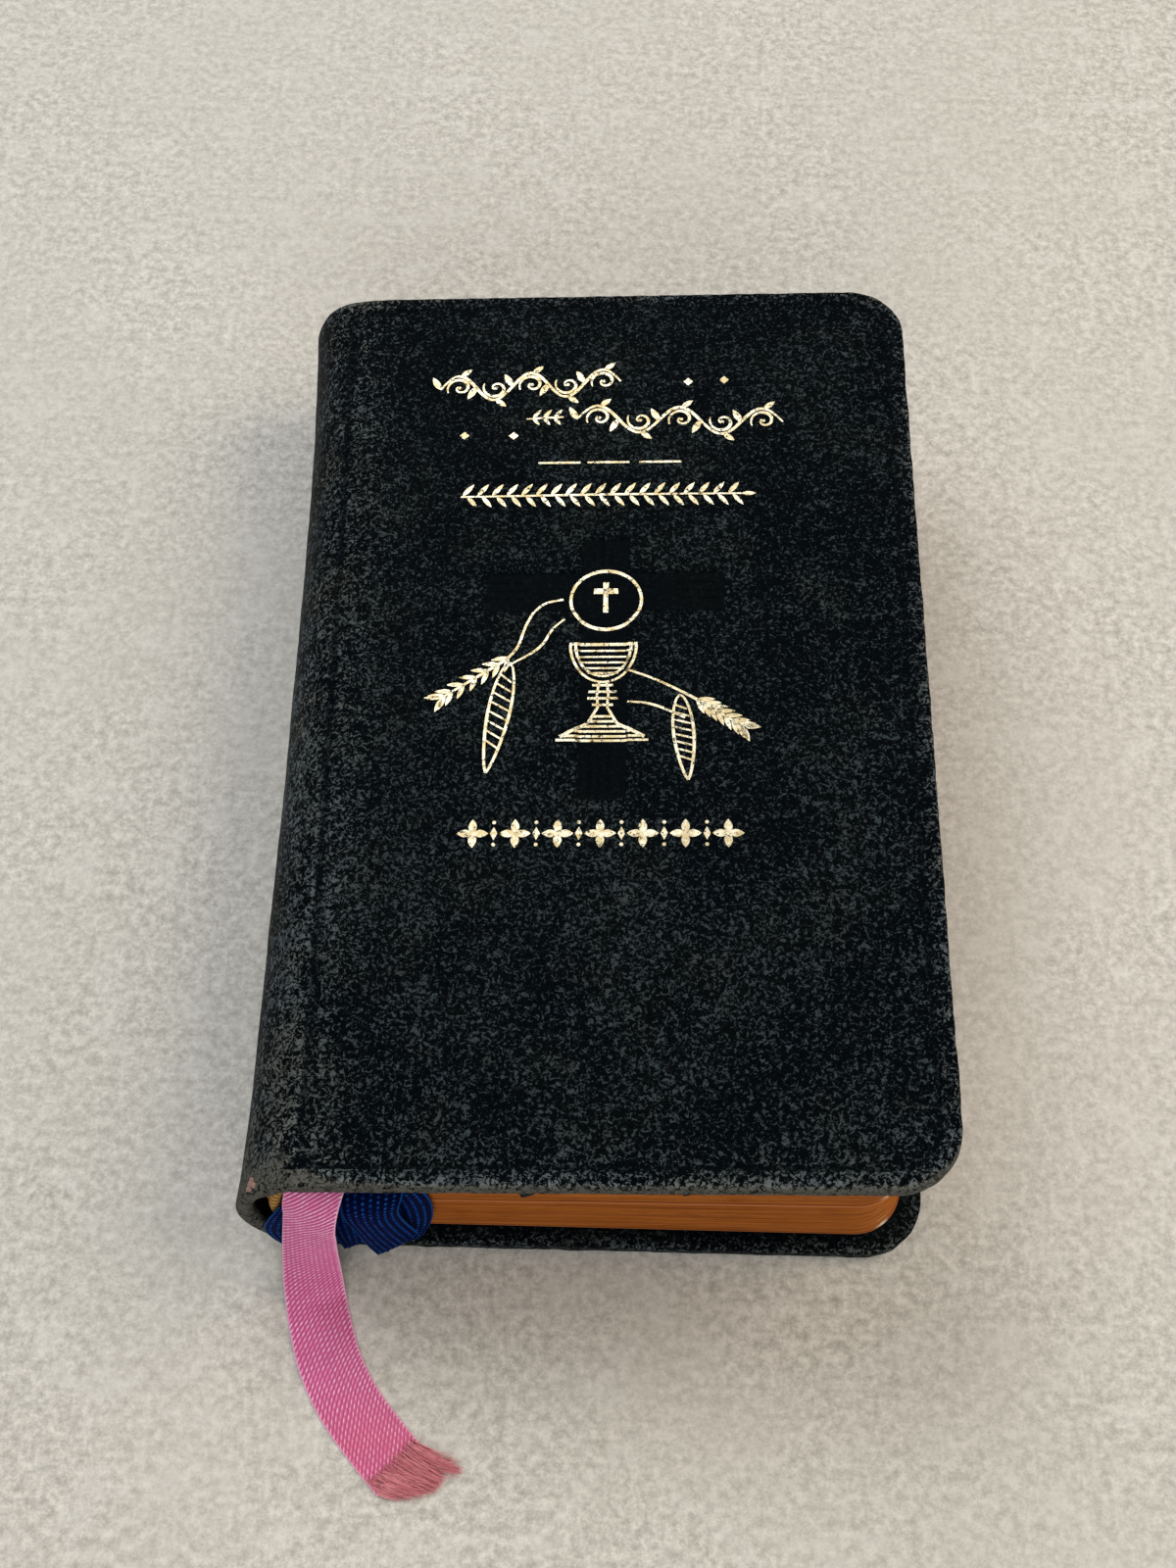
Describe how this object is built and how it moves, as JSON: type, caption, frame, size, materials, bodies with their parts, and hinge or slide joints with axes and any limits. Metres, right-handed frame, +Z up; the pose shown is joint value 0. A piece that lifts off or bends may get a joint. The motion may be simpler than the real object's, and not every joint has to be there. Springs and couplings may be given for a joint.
{
  "type": "prayer book",
  "caption": "Pocket prayer book with worn leather covers, rounded spine, stained page edges, gold ornament and two ribbon markers; covers and leaves open on hinges",
  "frame": {"origin": "under the middle of the closed book, on the surface its back cover lies on", "axes": "+X towards the fore-edge, +Y towards the head, +Z up out of the front cover; the spine is at -X"},
  "size_m": [0.0682, 0.1326, 0.0244],
  "materials": {
    "black_leather": "worn grained leather",
    "board": "grey-brown pulp board",
    "endpaper": "smooth off-white paper",
    "leaves": "thin book paper with copper-orange stained edges",
    "kraft_paper": "brown kraft paper",
    "linen": "open-weave linen",
    "headband_silk": "wrapped thread, gold and brown",
    "pink_satin": "twill satin ribbon",
    "blue_satin": "ribbed satin ribbon",
    "gold_foil": "worn gold stamping foil"
  },
  "bodies": {
    "back_cover": {"back_cover_leather": "black_leather", "back_board": "board", "back_pastedown": "endpaper"},
    "rear_block": {"section_07": "leaves", "section_08": "leaves", "section_09": "leaves", "section_10": "leaves", "section_11": "leaves", "section_12": "leaves", "rear_spine_leather": "black_leather", "rear_spine_lining": "kraft_paper", "rear_mull": "linen", "rear_sewing_tapes": "linen", "rear_headband": "headband_silk", "rear_tailband": "headband_silk"},
    "front_block": {"section_01": "leaves", "section_02": "leaves", "section_03": "leaves", "section_04": "leaves", "section_05": "leaves", "section_06": "leaves", "front_spine_leather": "black_leather", "front_spine_lining": "kraft_paper", "front_mull": "linen", "front_sewing_tapes": "linen", "front_headband": "headband_silk", "front_tailband": "headband_silk", "pink_ribbon": "pink_satin", "pink_ribbon_tail": "pink_satin", "blue_ribbon": "blue_satin", "blue_ribbon_tail": "blue_satin"},
    "front_cover": {"front_cover_leather": "black_leather", "front_board": "board", "front_pastedown": "endpaper", "gilt_title_ornament": "gold_foil", "gilt_rules": "gold_foil", "gilt_line_ornament": "gold_foil", "gilt_emblem": "gold_foil", "gilt_sprigs": "gold_foil", "gilt_foot_ornament": "gold_foil"},
    "front_flyleaf": {"front_flyleaf": "endpaper"},
    "rear_flyleaf": {"rear_flyleaf": "endpaper"},
    "middle_leaf_1": {"middle_leaf_1": "leaves"},
    "middle_leaf_2": {"middle_leaf_2": "leaves"},
    "middle_leaf_3": {"middle_leaf_3": "leaves"}
  },
  "joints": [
    {"name": "back_cover_hinge", "type": "hinge", "parent": "back_cover", "child": "rear_block", "pos_m": [-0.0289, 0, 0], "axis": [0, -1, 0], "range_deg": [0, 80]},
    {"name": "gutter_hinge", "type": "hinge", "parent": "rear_block", "child": "front_block", "pos_m": [-0.0341, 0, 0.00964], "axis": [0, -1, 0], "range_deg": [0, 150]},
    {"name": "front_cover_hinge", "type": "hinge", "parent": "front_block", "child": "front_cover", "pos_m": [-0.0289, 0, 0.02], "axis": [0, -1, 0], "range_deg": [0, 115]},
    {"name": "front_flyleaf_turn", "type": "hinge", "parent": "front_block", "child": "front_flyleaf", "pos_m": [-0.0289, 0, 0.02], "axis": [0, -1, 0], "range_deg": [0, 57.5]},
    {"name": "rear_flyleaf_turn", "type": "hinge", "parent": "back_cover", "child": "rear_flyleaf", "pos_m": [-0.0289, 0, 0], "axis": [0, -1, 0], "range_deg": [0, 40]},
    {"name": "middle_leaf_1_turn", "type": "hinge", "parent": "rear_block", "child": "middle_leaf_1", "pos_m": [-0.0341, 0, 0.00964], "axis": [0, -1, 0], "range_deg": [0, 127.5]},
    {"name": "middle_leaf_2_turn", "type": "hinge", "parent": "rear_block", "child": "middle_leaf_2", "pos_m": [-0.0341, 0, 0.00964], "axis": [0, -1, 0], "range_deg": [0, 67.5]},
    {"name": "middle_leaf_3_turn", "type": "hinge", "parent": "rear_block", "child": "middle_leaf_3", "pos_m": [-0.0341, 0, 0.00964], "axis": [0, -1, 0], "range_deg": [0, 18]}
  ],
  "couplings": [
    {"joint": "front_flyleaf_turn", "follows": "front_cover_hinge", "ratio": 0.5},
    {"joint": "rear_flyleaf_turn", "follows": "back_cover_hinge", "ratio": 0.5},
    {"joint": "middle_leaf_1_turn", "follows": "gutter_hinge", "ratio": 0.85},
    {"joint": "middle_leaf_2_turn", "follows": "gutter_hinge", "ratio": 0.45},
    {"joint": "middle_leaf_3_turn", "follows": "gutter_hinge", "ratio": 0.12}
  ]
}
